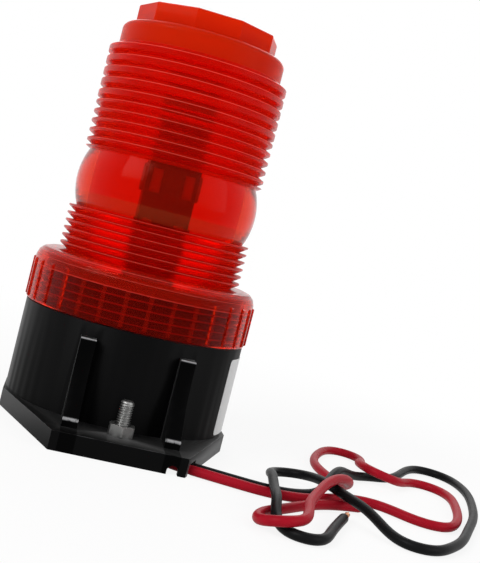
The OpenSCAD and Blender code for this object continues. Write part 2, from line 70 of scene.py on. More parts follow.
# Places on the base, as the part's source has them
BOLT_Y = 0.04
BODY_R = 0.0347
LEDGE_Z = 0.0334
GUSSET_X = 0.0145
GUSSET_HALF = 0.0022
GUSSET_TOP_Z = 0.0294
GUSSET_FOOT_Z = 0.0077
GUSSET_FOOT_Y = 0.0445

# The lens from its collar up: lower ribs, barrel, lip, fine ribs, coarse ribs, step and faceted cap
SHOULDER_Z = 0.0506
COLLAR_ROUND = 0.0038
COLLAR_TOP_Z = SHOULDER_Z - COLLAR_ROUND
LOWER_RIBS = 6
LOWER_PITCH = 0.00235
BARREL_Z = SHOULDER_Z + LOWER_RIBS * LOWER_PITCH
BARREL_HALF = 0.0089
LIP_Z = BARREL_Z + 2 * BARREL_HALF
FINE_RIBS = 5
FINE_PITCH = 0.00295
FINE_Z = LIP_Z + 0.0013
COARSE_RIBS = 5
COARSE_PITCH = 0.0035
COARSE_Z = FINE_Z + FINE_RIBS * FINE_PITCH
STEP_R = 0.0259
STEP_EDGE = 0.002
STEP_Z = COARSE_Z + COARSE_RIBS * COARSE_PITCH
STEP_ROUND_Z = STEP_Z + 0.0049
CAP_Z = STEP_ROUND_Z + STEP_EDGE
FACET_R = 0.0224

# Each wire's points as the part's source has them in millimetres, made metres, from its notch to its end
MM = 0.001
RED_ROUTE = MM * np.array([
    (20.53, -46.93, 1.6), (25.21, -48.69, 1.6), (32, -51, 1.6), (39.5, -53.5, 1.6), (46.5, -54, 1.6),
    (53.5, -52, 1.6), (60.5, -47, 1.6), (68.5, -42, 1.6), (76, -41, 1.6), (82, -45.5, 1.6),
    (87.5, -51.5, 1.6), (94.5, -52.5, 1.6), (100, -47, 1.6), (106, -34.5, 1.6), (110.5, -20.5, 1.6),
    (112.5, -9.5, 1.6), (110, -2, 1.6), (104, 0, 1.6), (98.5, -4.5, 1.8), (94, -10, 2.8), (89.5, -13, 4),
    (84.5, -11.5, 4.8), (82.5, -5.5, 4.8), (84, 2.5, 4), (87.5, 10.5, 2), (90, 17.5, 1.6), (88.8, 23.5, 1.6),
    (83.5, 26.3, 1.6), (78, 22.7, 1.6), (74, 16, 1.6), (70.5, 8, 1.6), (67.5, -3.5, 1.6), (68, -16.5, 1.6),
    (70.5, -27.5, 1.8), (69, -38, 5.6), (63, -46.5, 7.8), (57, -55, 7.4), (52, -64.5, 6.2), (48, -74, 5.6),
    (46, -82.5, 5), (42, -88.9, 4.8), (36.4, -89.3, 4), (33.4, -84, 2), (35.2, -76.5, 1.6),
    (41.5, -69.5, 1.6), (48, -63, 1.6), (54.5, -57, 1.6), (61.5, -52.5, 1.6), (70, -49.5, 1.6)])
BLACK_ROUTE = MM * np.array([
    (21.70, -43.84, 1.6), (26.37, -45.60, 1.6), (33, -47.7, 1.6), (40.5, -50, 1.6), (48, -50.2, 1.6),
    (54.5, -47, 1.6), (60, -40.5, 1.6), (64.5, -32, 3.2), (69, -24, 5), (74, -16.5, 3.6), (79.5, -10.5, 1.8),
    (85.5, -6, 1.6), (92, -3.5, 1.6), (97.5, 2.5, 1.6), (103, 11.5, 1.6), (108.5, 20, 1.6), (115.5, 25, 1.6),
    (122, 22, 1.6), (124.5, 13, 1.6), (123, -0.5, 1.6), (118.5, -15.5, 1.6), (111.5, -33.5, 1.6),
    (102.5, -51, 1.6), (94, -66, 1.6), (87, -74.5, 1.6), (81, -79, 1.6), (75, -78, 1.6), (71.5, -71.5, 2),
    (68.5, -63, 4), (64.5, -52.5, 4.6), (60.5, -42.5, 5), (58.6, -34.5, 4), (54.5, -29.1, 2.8),
    (49, -29.3, 2.2), (45.8, -35, 2.8), (44.2, -43.5, 4.6), (42.8, -53, 4.7), (41.4, -62.5, 4.6),
    (40, -71.5, 4.9), (38.6, -79, 3), (39, -84.9, 1.6), (41.8, -89.7, 1.6), (46.4, -90.9, 1.6),
    (50, -87.9, 1.6), (52, -83.5, 1.6), (54.4, -78, 1.6), (57.5, -71.5, 1.6), (61, -64.5, 1.6)])

# The red lead inside the base, from the notch up to the board; the black one runs beside it
LEAD_ROUTE = MM * np.array([
    (11.34, -39.35, 1.6), (9.24, -30.65, 1.6), (7.84, -26.3, 3.4), (7, -22.7, 7.05), (7, -18.95, 12),
    (7, -17.3, 16.4), (7, -17.3, 27.4)])
LEAD_STEP = MM * np.array((3.5, 0.91, 0))

WHITE = (1.0, 1.0, 1.0)


def size_setting(name, description, default, least=0.0):
    """A length in metres."""
    return FloatProperty(name=name, description=description, default=default, min=least, unit="LENGTH")


def colour_setting(name, description, default):
    """A colour in linear light."""
    return FloatVectorProperty(name=name, description=description, default=default, min=0.0, max=1.0,
                               subtype="COLOR")


class WireLook(bpy.types.PropertyGroup):
    """Sizes and colours of the two supply wires."""

    diameter: size_setting("Diameter", "Outside diameter of each wire", 0.0028, 0.001)
    core: size_setting("Core", "Diameter of the copper core", 0.0015, 0.0005)
    red_bare: size_setting("Red bare end", "Copper standing out of the red wire", 0.0006)
    black_bare: size_setting("Black bare end", "Copper standing out of the black wire", 0.005)
    red: colour_setting("Red", "Colour of the red insulation", (0.33, 0.006, 0.016))
    black: colour_setting("Black", "Colour of the black insulation", (0.006, 0.006, 0.0065))


class LensLook(bpy.types.PropertyGroup):
    """Sizes and colour of the ribbed lens."""

    root: size_setting("Root", "Radius at the bottom of the grooves", 0.0264)
    crest: size_setting("Crest", "Radius of the upper ribs", 0.0284)
    lower_crest: size_setting("Lower crest", "Radius of the lower ribs", 0.0289)
    barrel: size_setting("Barrel", "Radius of the barrel's middle", 0.0287)
    collar: size_setting("Collar", "Radius of the collar without its ribs", 0.035)
    bore: size_setting("Bore", "Radius of the collar's bore", 0.0321)
    grips: IntProperty(name="Grip ribs", description="Number of grip ribs round the collar", default=32,
                       min=8)
    grip_height: size_setting("Grip height", "How far the grip ribs stand out", 0.0005)
    facets: IntProperty(name="Facets", description="Number of facets round the top", default=10, min=6)
    facet_turn: FloatProperty(name="Facet turn", description="Turn of the faceted top",
                              default=math.radians(2.0), subtype="ANGLE")
    pitch: size_setting("Thread pitch", "Rise of the lens in one turn", 0.0024)
    colour: colour_setting("Colour", "Colour of light through one wall of the lens", (0.91, 0.024, 0.006))
    milky: colour_setting("Milky colour", "Colour of the light that the plastic scatters",
                          (0.76, 0.016, 0.005))


class BaseLook(bpy.types.PropertyGroup):
    """Sizes and colours of the base and its fasteners."""

    edge: size_setting("Edge", "Width of the rounding on the moulded edges", 0.0004, 0.0001)
    plastic: colour_setting("Plastic", "Colour of the black plastic", (0.0010, 0.0010, 0.0011))
    zinc: colour_setting("Zinc", "Colour of the plated fasteners", (0.27, 0.27, 0.265))
    plate: colour_setting("Plate", "Colour of the blank plate on the body's side", (0.60, 0.61, 0.61))


class StageLook(bpy.types.PropertyGroup):
    """Light level and floor of the studio."""

    light: FloatProperty(name="Light", description="Level of the lamps", default=1.0, min=0.0)
    floor: size_setting("Floor", "Half the floor's width", 3.0, 0.5)


class BeaconLook(bpy.types.PropertyGroup):
    """All the beacon's settings."""

    wires: PointerProperty(type=WireLook)
    lens: PointerProperty(type=LensLook)
    base: PointerProperty(type=BaseLook)
    stage: PointerProperty(type=StageLook)


class Shade:
    """An output socket of a node tree: arithmetic on it adds Math nodes to the same tree."""

    def __init__(self, finish, socket):
        self.finish = finish
        self.socket = socket

    def math(self, operation, first, second=0.0):
        """Adds one Math node."""
        return self.finish.node("ShaderNodeMath", {"operation": operation}, {0: first, 1: second})

    def __add__(self, other):
        return self.math("ADD", self, other)

    __radd__ = __add__

    def __sub__(self, other):
        return self.math("SUBTRACT", self, other)

    def __rsub__(self, other):
        return self.math("SUBTRACT", other, self)

    def __mul__(self, other):
        return self.math("MULTIPLY", self, other)

    __rmul__ = __mul__

    def __truediv__(self, other):
        return self.math("DIVIDE", self, other)

    def __rtruediv__(self, other):
        return self.math("DIVIDE", other, self)

    def __pow__(self, other):
        return self.math("POWER", self, other)

    def __rpow__(self, other):
        return self.math("POWER", other, self)

    def __abs__(self):
        return self.math("ABSOLUTE", self)

    def __gt__(self, other):
        return self.math("GREATER_THAN", self, other)

    def __lt__(self, other):
        return self.math("LESS_THAN", self, other)

    def most(self, other):
        """The larger of two values."""
        return self.math("MAXIMUM", self, other)

    def least(self, other):
        """The smaller of two values."""
        return self.math("MINIMUM", self, other)

    def fraction(self):
        """What is over the last whole number."""
        return self.math("FRACT", self)

    def step(self, low, high):
        """0 below low, 1 above high, with a smooth step between."""
        return self.finish.node("ShaderNodeMapRange", {"interpolation_type": "SMOOTHSTEP"},
                                {"Value": self, "From Min": low, "From Max": high})


def scaled(colour, factor):
    """A colour made lighter or darker."""
    return tuple(channel * factor for channel in colour[:3])


def rgba(colour):
    """A colour as a socket takes it, with full alpha. A link stays as it is."""
    return colour if isinstance(colour, Shade) else (*colour[:3], 1.0)


class Finish:
    """The node tree of a new material or world."""

    def __init__(self, owner):
        owner.use_nodes = True
        self.owner = owner
        self.tree = owner.node_tree
        self.tree.nodes.clear()

    def node(self, kind, settings=None, inputs=None, output=0):
        """Adds a node: its settings first, then its inputs by name or number, as values or links."""
        made = self.tree.nodes.new(kind)
        for key, value in (settings or {}).items():
            setattr(made, key, value)
        for key, value in (inputs or {}).items():
            if isinstance(value, Shade):
                self.tree.links.new(value.socket, made.inputs[key])
            else:
                made.inputs[key].default_value = value
        return Shade(self, made.outputs[output]) if made.outputs else None

    def place(self):
        """Object coordinates."""
        return self.node("ShaderNodeTexCoord", output="Object")

    def noise(self, scale, detail=3.0, place=None):
        """Noise from 0 to 1 with features of about one part in scale of a metre."""
        return self.node("ShaderNodeTexNoise", {},
                         {"Vector": place or self.place(), "Scale": scale, "Detail": detail})

    def stretched(self, scale, detail, along):
        """Noise whose Z coordinate is multiplied by along, for streaks or fine lines."""
        place = self.node("ShaderNodeMapping", {}, {"Vector": self.place(), "Scale": (1.0, 1.0, along)})
        return self.noise(scale, detail, place)

    def axes(self, place=None):
        """The three coordinates as values."""
        split = self.node("ShaderNodeSeparateXYZ", {}, {0: place or self.place()}).socket.node
        return [Shade(self, socket) for socket in split.outputs]

    def from_axis(self):
        """Distance from the Z axis."""
        x, y, _ = self.axes()
        return (x * x + y * y) ** 0.5

    def mix(self, amount, first, second):
        """A colour between two others."""
        return self.node("ShaderNodeMix", {"data_type": "RGBA"}, {0: amount, 6: rgba(first), 7: rgba(second)},
                         output=2)

    def varied(self, amount, colour, low, high):
        """A colour between two multiples of itself."""
        return self.mix(amount, scaled(colour, low), scaled(colour, high))

    def bump(self, height, strength, depth):
        """A normal from a height of 0 to 1 that stands for a depth in metres."""
        return self.node("ShaderNodeBump", {}, {"Height": height, "Strength": strength, "Distance": depth})

    def seen(self):
        """1 for rays from the camera and for those seen in a gloss or through glass, else 0."""
        rays = [self.node("ShaderNodeLightPath", output=kind)
                for kind in ("Is Camera Ray", "Is Glossy Ray", "Is Transmission Ray")]
        return rays[0].most(rays[1]).most(rays[2])

    def plain(self, kind, colour, **inputs):
        """A shader of one colour all over."""
        return self.node(kind, {}, {"Color": rgba(colour), **inputs})

    def principled(self, **inputs):
        """A Principled shader: its inputs by name, with _ for a space."""
        return self.node("ShaderNodeBsdfPrincipled", {},
                         {key.replace("_", " "): value for key, value in inputs.items()})

    def between(self, amount, first, second):
        """A shader between two others."""
        return self.node("ShaderNodeMixShader", {}, {0: amount, 1: first, 2: second})

    def close(self, shader, output="ShaderNodeOutputMaterial"):
        """Links the shader to the output and gives the finished material or world."""
        self.node(output, {}, {"Surface": shader})
        return self.owner


def new_finish(name):
    """The empty node tree of a new material."""
    return Finish(bpy.data.materials.new(name))


def black_plastic(colour):
    """Satin moulded plastic: fine spark-eroded grain, uneven gloss and a breath of dust on upward faces. The
    gussets carry painted shade, a darker matt copy of the plastic, and painted highlights in pale grey along
    their upper and lower edges; the flange's upper rim is a little lighter in patches."""
    f = new_finish("black_plastic")
    x, y, z = f.axes()
    grain = f.noise(2600.0, 2.0)
    cloud = f.noise(70.0, 4.0)
    up = f.axes(f.node("ShaderNodeTexCoord", output="Normal"))[2]
    dust = up.step(0.75, 1.0) * f.noise(420.0, 5.0).step(0.5, 0.85)
    on_gusset = (abs(abs(x) - GUSSET_X) < GUSSET_HALF + 0.0001) * (abs(y) > BODY_R + 0.0005)
    top_edge = 1.0 - abs(z - GUSSET_TOP_Z).step(0.0001, 0.0005)
    foot_edge = (1.0 - abs(z - GUSSET_FOOT_Z).step(0.0002, 0.0006)) * (abs(y) > GUSSET_FOOT_Y - 0.0009)
    # Painted highlight: pale grey lines along the gussets' upper and lower edges
    painted_highlight = on_gusset * top_edge.most(foot_edge) * f.noise(900.0, 2.0).step(0.25, 0.5)
    # The flange's upper rim is made a little lighter in patches
    on_rim = (1.0 - abs(z - FLANGE_Z).step(0.0003, 0.0006)) * (f.from_axis() > BODY_R + 0.0006)
    rounded = up.step(0.25, 0.5) * (1.0 - up.step(0.85, 0.95))
    lighter_rim = on_rim * rounded * f.noise(300.0, 3.0).step(0.3, 0.6)
    tone = f.varied(cloud, colour, 0.8, 1.25)
    tone = f.mix(dust * 0.08, tone, (0.16, 0.155, 0.15))
    # Painted highlight in pale grey on the gussets' edges, and lighter patches on the flange's rim
    tone = f.mix((painted_highlight * 0.7).most(lighter_rim * 0.2), tone, (0.42, 0.42, 0.43))
    satin = f.principled(
        Base_Color=tone, Roughness=0.36 + cloud * 0.12 + dust * 0.2, Specular_IOR_Level=0.045,
        Sheen_Weight=0.16, Sheen_Roughness=0.3, Normal=f.bump(grain, 0.10, 0.00006))
    # Painted shade: the gussets get a darker matt copy of the plastic, without its gloss
    dull = f.plain("ShaderNodeBsdfDiffuse", scaled(colour, 0.5))
    return f.close(f.between(on_gusset * (1.0 - painted_highlight) * 0.6, satin, dull))


def thread_plastic(colour, root, crest):
    """The neck's thread: black plastic whose crests, by distance from the axis, carry a painted highlight of
    pale red."""
    f = new_finish("thread_plastic")
    # Painted highlight: the crests are coloured pale red by their distance from the axis
    painted_highlight = f.from_axis().step(root, crest)
    grain = f.noise(1800.0, 3.0)
    tone = f.mix(painted_highlight * (0.6 + grain * 0.4), colour, (0.46, 0.11, 0.08))
    return f.close(f.principled(Base_Color=tone, Roughness=0.3 + grain * 0.15, Specular_IOR_Level=0.3))


def red_lens(look, runs, levels, lines, painted_sheen_foot, painted_sheen_top):
    """Clear red moulded plastic with faint flow marks. Each stretch of height has its own share of milky
    scatter, from the given pairs of level and share: the ribs, the top and the shoulder glow, the barrel and
    the collar stay clear, apart from a painted sheen: a paler band low on the barrel. runs give each run of
    ribs' foot, top, pitch and the place of a rib's upper edge, which carries a painted pale highlight line,
    as do thin lines at the given heights round the shoulder. The grip ribs' faces are scuffed dull."""
    f = new_finish("red_lens")
    z = f.axes()[2]
    radius = f.from_axis()
    flow = f.noise(90.0, 3.0)
    speck = f.noise(600.0, 3.0)

    def above(level, soft=0.0003):
        """1 over a level, 0 under it, with a short smooth step."""
        return z.step(level - soft, level + soft)

    ribbed = 0.0
    edges = 0.0
    # Painted highlight: a thin pale line at each rib's upper edge
    for low, high, pitch, edge in runs:
        inside = above(low, 0.0004) - above(high, 0.0004)
        along = ((z - low) / pitch).fraction()
        edges = inside * (1.0 - abs(along - edge).step(0.02, 0.07)) + edges
        ribbed = inside + ribbed
    edges = edges * radius.step(look.root + 0.0008, look.crest - 0.0002)
    # Painted highlight: thin pale lines round the shoulder at the given heights
    for height in lines:
        edges = edges.most((1.0 - abs(z - height).step(0.00006, 0.0002)) * (0.5 + speck * 0.5))
    share = levels[0][1]
    for (level, amount), (_, before) in zip(levels[1:], levels):
        share = above(level) * (amount - before) + share
    # Painted sheen: a paler band low on the barrel
    painted_sheen_band = z.step(*painted_sheen_foot) - z.step(*painted_sheen_top)
    grip = radius.step(look.collar + 0.5 * look.grip_height, look.collar + 0.9 * look.grip_height)
    tips = radius.step(look.crest - 0.0009, look.crest - 0.0001) * ribbed.least(1.0)

    colour = tuple(look.colour)
    clear = (colour[0] * 0.9, colour[1] * 1.5, colour[2])
    tone = f.mix(ribbed.least(1.0), clear, colour)
    # Painted shade: the collar, below the shoulder, gets a darker red
    tone = f.mix(1.0 - above(levels[1][0]), tone, scaled(colour, 0.66))
    tone = f.mix(flow * 0.3, tone, scaled(colour, 0.85))
    plastic = f.principled(
        Base_Color=tone, Roughness=0.045 + ribbed * 0.17 + flow * 0.03, IOR=1.28, Transmission_Weight=0.94,
        Specular_Tint=(0.26, 0.08, 0.06, 1.0), Normal=f.bump(f.noise(260.0, 1.0), 0.02, 0.0001))

    milky = tuple(look.milky)
    orange = (milky[0], milky[1] * 2.6, milky[2])
    glow = milky
    through = f.plain("ShaderNodeBsdfTranslucent", milky)
    on_top = above(levels[-1][0])
    # Scatter colours: orange on the top, painted sheen on the band low on the barrel, painted highlight in
    # pale pink on the rib edges and shoulder lines
    for where, lit in ((on_top, orange), (painted_sheen_band, (0.46, 0.10, 0.03)), (edges, (0.90, 0.12, 0.09))):
        glow = f.mix(where, glow, lit)
        through = f.between(where, through, f.plain("ShaderNodeBsdfTranslucent", lit))
    chalky = f.principled(Base_Color=glow, Roughness=1.0, Specular_IOR_Level=0.0)
    scatter = f.between(0.45, chalky, through)
    amount = (share * (0.9 + flow * 0.2) * (1.0 - tips * 0.6)).most(edges * 0.6)
    amount = amount.most(grip * (0.14 + speck * 0.18)).most(painted_sheen_band * 0.18)
    return f.close(f.between(amount, plastic, scatter))


def rubber(name, colour):
    """Matt rubber with a fine grain."""
    f = new_finish(name)
    grain = f.noise(1500.0, 4.0)
    return f.close(f.principled(
        Base_Color=f.varied(grain, colour, 0.8, 1.3), Roughness=0.62 + grain * 0.15, Specular_IOR_Level=0.3,
        Normal=f.bump(grain, 0.2, 0.00008)))


def zinc_plate(colour):
    """Plated steel: bright, with cloudy gloss, fine scratches and dull spots."""
    f = new_finish("zinc_plate")
    cloud = f.noise(700.0, 5.0)
    spots = f.noise(2300.0, 2.0).step(0.58, 0.75)
    scratch = f.stretched(1800.0, 2.0, 9.0)
    tone = f.mix(cloud * 0.6 + spots * 0.4, colour, scaled(colour, 0.62))
    return f.close(f.principled(
        Base_Color=tone, Metallic=1.0, Roughness=0.32 + cloud * 0.16 + spots * 0.14,
        Normal=f.bump(scratch, 0.12, 0.00004)))


def insulation(name, colour):
    """Soft PVC: a fine grain and a slightly uneven sheen."""
    f = new_finish(name)
    cloud = f.noise(240.0, 3.0)
    grain = f.noise(2800.0, 2.0)
    return f.close(f.principled(
        Base_Color=f.varied(cloud, colour, 0.82, 1.15), Roughness=0.34 + cloud * 0.12,
        Specular_IOR_Level=0.05, Normal=f.bump(grain, 0.08, 0.00005)))


def copper():
    """Bare drawn copper with brown oxide in patches."""
    f = new_finish("copper")
    oxide = f.noise(1600.0, 4.0).step(0.4, 0.75)
    tone = f.mix(oxide, (0.72, 0.36, 0.19), (0.30, 0.13, 0.07))
    return f.close(f.principled(Base_Color=tone, Metallic=1.0, Roughness=0.3 + oxide * 0.25))


def board_laminate():
    """Green solder mask over copper runs, which follow a cell pattern's edges and stand a little proud."""
    f = new_finish("board_laminate")
    cells = f.node("ShaderNodeTexVoronoi", {"feature": "DISTANCE_TO_EDGE", "distance": "EUCLIDEAN"},
                   {"Vector": f.place(), "Scale": 320.0, "Randomness": 0.35})
    runs = 1.0 - cells.step(0.05, 0.09)
    weave = f.noise(2400.0, 2.0)
    tone = f.mix(runs, (0.010, 0.055, 0.022), (0.028, 0.115, 0.045))
    return f.close(f.principled(
        Base_Color=tone, Roughness=0.32 + weave * 0.14, Normal=f.bump(runs + weave * 0.2, 0.3, 0.00004)))


def led_package(face):
    """LED: a pale moulded frame with a yellow phosphor window, which is what stands beyond the frame's
    face."""
    f = new_finish("led_package")
    x, y, _ = f.axes()
    window = abs(x).most(abs(y)) > face
    grain = f.noise(3000.0, 3.0)
    phosphor = f.mix(grain, (0.24, 0.185, 0.05), (0.28, 0.235, 0.09))
    pale = f.mix(grain, (0.20, 0.195, 0.18), (0.24, 0.235, 0.22))
    return f.close(f.principled(
        Base_Color=f.mix(window, pale, phosphor), Roughness=0.22 + window * 0.2 + grain * 0.1,
        Normal=f.bump(grain, 0.08, 0.00003)))


def component(name, colour, rough):
    """Moulded or sintered part body: a fine grain and cloudy tone."""
    f = new_finish(name)
    grain = f.noise(2400.0, 3.0)
    return f.close(f.principled(
        Base_Color=f.varied(grain, colour, 0.8, 1.25), Roughness=rough + grain * 0.12,
        Normal=f.bump(grain, 0.15, 0.00004)))


def blank_plate(colour):
    """Pale satin plate: a soft mottle and faint rubbed streaks."""
    f = new_finish("blank_plate")
    mottle = f.noise(300.0, 4.0)
    streak = f.stretched(900.0, 3.0, 0.12).step(0.55, 0.8)
    tone = f.mix(streak * 0.12, f.varied(mottle, colour, 0.93, 1.05), scaled(colour, 0.7))
    return f.close(f.principled(
        Base_Color=tone, Roughness=0.38 + mottle * 0.15, Normal=f.bump(mottle, 0.05, 0.00005)))


def ramp(values, width):
    """0 below nought, 1 above width, straight between."""
    return np.clip(values / width, 0.0, 1.0)


def round_angles(count):
    """Even angles round a circle."""
    return 2.0 * math.pi * np.arange(count) / count


def turned(radius, angle, height, y=0.0):
    """A grid of points, each at a radius and angle round an upright axis at y and at a height."""
    return np.stack(np.broadcast_arrays(radius * np.cos(angle), y + radius * np.sin(angle), height), -1)


def grid_quads(rows, columns, ring):
    """Quads between neighbouring rows of a grid whose columns close on themselves; ring joins last row to
    first."""
    last = rows if ring else rows - 1
    row, column = np.meshgrid(np.arange(last), np.arange(columns), indexing="ij")
    right = (column + 1) % columns
    here = row * columns
    next_row = (row + 1) % rows * columns
    return np.stack([here + column, here + right, next_row + right, next_row + column]).reshape(4, -1).T


def skin(points, start=None, end=None, ring=False):
    """Vertices, quads and triangles of grid rows (rows, columns, 3): the heading from row to row turned to
    the left of the heading from column to column gives the outside. start and end are points that close the
    first and the last row with a fan of triangles."""
    rows, columns = points.shape[:2]
    vertices = [points.reshape(-1, 3)]
    fans = [np.zeros((0, 3), int)]
    column = np.arange(columns)
    right = (column + 1) % columns
    total = rows * columns
    if start is not None:
        vertices.append(np.reshape(start, (1, 3)))
        fans.append(np.stack([np.full(columns, total), right, column], 1))
        total += 1
    if end is not None:
        last = (rows - 1) * columns
        vertices.append(np.reshape(end, (1, 3)))
        fans.append(np.stack([last + column, last + right, np.full(columns, total)], 1))
    return np.vstack(vertices), grid_quads(rows, columns, ring), np.vstack(fans)


def joined(shapes):
    """Several shapes as one: vertices one after another, with each shape's faces counted on from the last."""
    vertices, quads, fans = zip(*shapes)
    starts = np.cumsum([0] + [len(part) for part in vertices[:-1]])
    return (np.vstack(vertices), np.vstack([part + start for part, start in zip(quads, starts)]),
            np.vstack([part + start for part, start in zip(fans, starts)]))


def settle(made, body, replaces):
    """Puts a finished object into the scene on its body and the nodes that it stands for."""
    bpy.context.scene.collection.objects.link(made)
    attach(made, body)
    if replaces:
        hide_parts(*replaces)
    return made


def ease_edges(made, width, angle):
    """A bevel in two steps on every edge sharper than an angle in degrees."""
    bevel = made.modifiers.new("eased_edges", "BEVEL")
    bevel.width = width
    bevel.segments = 2
    bevel.limit_method = "ANGLE"
    bevel.angle_limit = math.radians(angle)
    return bevel


def piece(name, shape, finish, body, crease=35.0, replaces=()):
    """A finished mesh object that rides on a body: smooth, with edges over the crease angle kept sharp."""
    vertices, quads, fans = shape
    mesh = bpy.data.meshes.new(name)
    mesh.from_pydata(vertices.tolist(), [], quads.tolist() + fans.tolist())
    mesh.validate()
    mesh.shade_smooth()
    mesh.set_sharp_from_angle(angle=math.radians(crease))
    mesh.materials.append(finish)
    made = bpy.data.objects.new(name, mesh)
    made.modifiers.new("even_normals", "WEIGHTED_NORMAL").keep_sharp = True
    return settle(made, body, replaces)


def eased_copy(node, name, finish, body, width, cut_above=None):
    """A CAD node's own form with its edges eased: its triangles merged, flat faces joined, and a bevel on
    every edge sharper than 28 degrees. cut_above removes what is over that height and closes the cut."""
    form = bmesh.new()
    form.from_mesh(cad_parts[node].data)
    bmesh.ops.remove_doubles(form, verts=form.verts, dist=1e-6)
    if cut_above is not None:
        everything = list(form.verts) + list(form.edges) + list(form.faces)
        bmesh.ops.bisect_plane(form, geom=everything, plane_co=(0, 0, cut_above), plane_no=(0, 0, 1),
                               clear_outer=True)
        bmesh.ops.holes_fill(form, edges=[edge for edge in form.edges if edge.is_boundary], sides=0)
    bmesh.ops.dissolve_limit(form, angle_limit=math.radians(0.5), verts=form.verts, edges=form.edges)
    mesh = bpy.data.meshes.new(name)
    form.to_mesh(mesh)
    form.free()
    mesh.shade_smooth()
    mesh.materials.clear()
    mesh.materials.append(finish)
    made = bpy.data.objects.new(name, mesh)
    ease_edges(made, width, 28.0).harden_normals = True
    return settle(made, body, (node,))


def smooth_route(points, relax=0.003, step=0.0005):
    """A natural cubic spline through the points over chord length, sampled every step and then averaged along
    itself with a bell curve of width relax, which eases the tightest bends; its ends stay where they are."""
    chord = np.concatenate([[0.0], np.cumsum(np.linalg.norm(np.diff(points, axis=0), axis=1))])
    gap = np.diff(chord)
    system = np.diag(np.r_[1.0, 2.0 * (gap[:-1] + gap[1:]), 1.0])
    system += np.diag(np.r_[gap[:-1], 0.0], -1) + np.diag(np.r_[0.0, gap[1:]], 1)
    right = np.zeros_like(points)
    right[1:-1] = 6.0 * np.diff(np.diff(points, axis=0) / gap[:, None], axis=0)
    moment = np.linalg.solve(system, right)
    along = np.linspace(0.0, chord[-1], int(chord[-1] / step) + 1)
    k = np.clip(np.searchsorted(chord, along, side="right") - 1, 0, len(gap) - 1)
    after = (along - chord[k])[:, None]
    before = (chord[k + 1] - along)[:, None]
    span = gap[k][:, None]
    curve = (moment[k] * before ** 3 + moment[k + 1] * after ** 3) / (6.0 * span)
    curve += (points[k] / span - moment[k] * span / 6.0) * before
    curve += (points[k + 1] / span - moment[k + 1] * span / 6.0) * after
    reach = int(3.0 * relax / step)
    bell = np.exp(-0.5 * (np.arange(-reach, reach + 1) * step / relax) ** 2)
    bell /= bell.sum()
    head = 2.0 * curve[0] - curve[reach:0:-1]
    tail = 2.0 * curve[-1] - curve[-2:-reach - 2:-1]
    padded = np.vstack([head, curve, tail])
    return np.stack([np.convolve(padded[:, axis], bell, "valid") for axis in range(3)], 1)


def laid_route(points, diameter, **easing):
    """A smooth route, raised where needed to keep the wire just clear of the floor."""
    clear = 0.0001
    path = smooth_route(points, **easing)
    path[:, 2] = np.maximum(path[:, 2], diameter / 2 + clear)
    return path


def carried_round(path, radius, sides, up=(0.0, 0.0, 1.0)):
    """A circle carried along a path, square to its heading: the circle's axes are the heading crossed with
    up, and that crossed with the heading. radius is one number or one for each point."""
    heading = np.gradient(path, axis=0)
    heading /= np.linalg.norm(heading, axis=1)[:, None]
    across = np.cross(heading, up)
    across /= np.linalg.norm(across, axis=1)[:, None]
    over = np.cross(across, heading)
    angle = round_angles(sides)
    around = np.cos(angle)[None, :, None] * across[:, None] - np.sin(angle)[None, :, None] * over[:, None]
    return path[:, None] + np.reshape(radius, (-1, 1, 1)) * around


def wire_jacket(path, diameter, up=(0.0, 0.0, 1.0)):
    """A wire's insulation: a round tube along the path, its cut ends a little rounded and closed."""
    rounded = 0.93
    radius = np.full(len(path), diameter / 2)
    radius[[0, -1]] *= rounded
    return skin(carried_round(path, radius, sides=20, up=up), path[0], path[-1])


def strand_bundle(path, core, length):
    """Bare copper past a path's end: one straight strand and six laid round it in a helix, which opens a
    little towards its end."""
    lead = 0.009
    opened_at = 0.005
    hidden = 0.0006
    spacing = 0.0003
    heading = path[-1] - path[-4]
    heading /= np.linalg.norm(heading)
    across = np.cross(heading, (0.0, 0.0, 1.0))
    across /= np.linalg.norm(across)
    over = np.cross(across, heading)
    thick = core / 6
    along = np.linspace(-hidden, length, max(6, int(length / spacing)))
    middle = path[-1] + along[:, None] * heading
    turn = 2.0 * math.pi * (along[:, None] / lead + np.arange(6)[None] / 6)
    offset = np.cos(turn)[..., None] * across + np.sin(turn)[..., None] * over
    spread = (2.0 + 0.25 * ramp(along, opened_at))[:, None, None] * thick
    strands = [middle] + list(np.moveaxis(middle[:, None] + spread * offset, 1, 0))
    return joined([skin(carried_round(line, thick, sides=8), line[0], line[-1]) for line in strands])


def soften(corners, cut, steps=3):
    """A line of corners (n, 2) with each inner one turned into a quadratic curve that starts and ends a short
    cut away from it and has the corner as its control point."""
    corner = corners[1:-1]
    before = corners[:-2] - corner
    after = corners[2:] - corner
    before_length = np.linalg.norm(before, axis=1)[:, None]
    after_length = np.linalg.norm(after, axis=1)[:, None]
    start = corner + before / before_length * np.minimum(cut, 0.4 * before_length)
    end = corner + after / after_length * np.minimum(cut, 0.4 * after_length)
    t = np.linspace(0.0, 1.0, steps)[:, None, None]
    curve = (1.0 - t) ** 2 * start + 2.0 * t * (1.0 - t) * corner + t ** 2 * end
    return np.vstack([corners[:1], np.moveaxis(curve, 0, 1).reshape(-1, 2), corners[-1:]])


def arc(middle, radius, first, last, count):
    """Points on a circle in the plane of radius and height, between two angles in degrees."""
    angle = np.radians(np.linspace(first, last, count))
    return np.column_stack([middle[0] + radius * np.cos(angle), middle[1] + radius * np.sin(angle)])


def rib_run(z, count, pitch, root, crest, rise, land):
    """Corners of a run of ribs: out from the root to the crest over rise, along it for land, back at the next
    rib."""
    foot = z + pitch * np.arange(count)
    heights = foot[:, None] + pitch * np.array([0.0, rise, rise + land])
    return np.column_stack([np.tile([root, crest, crest], count), heights.ravel()])


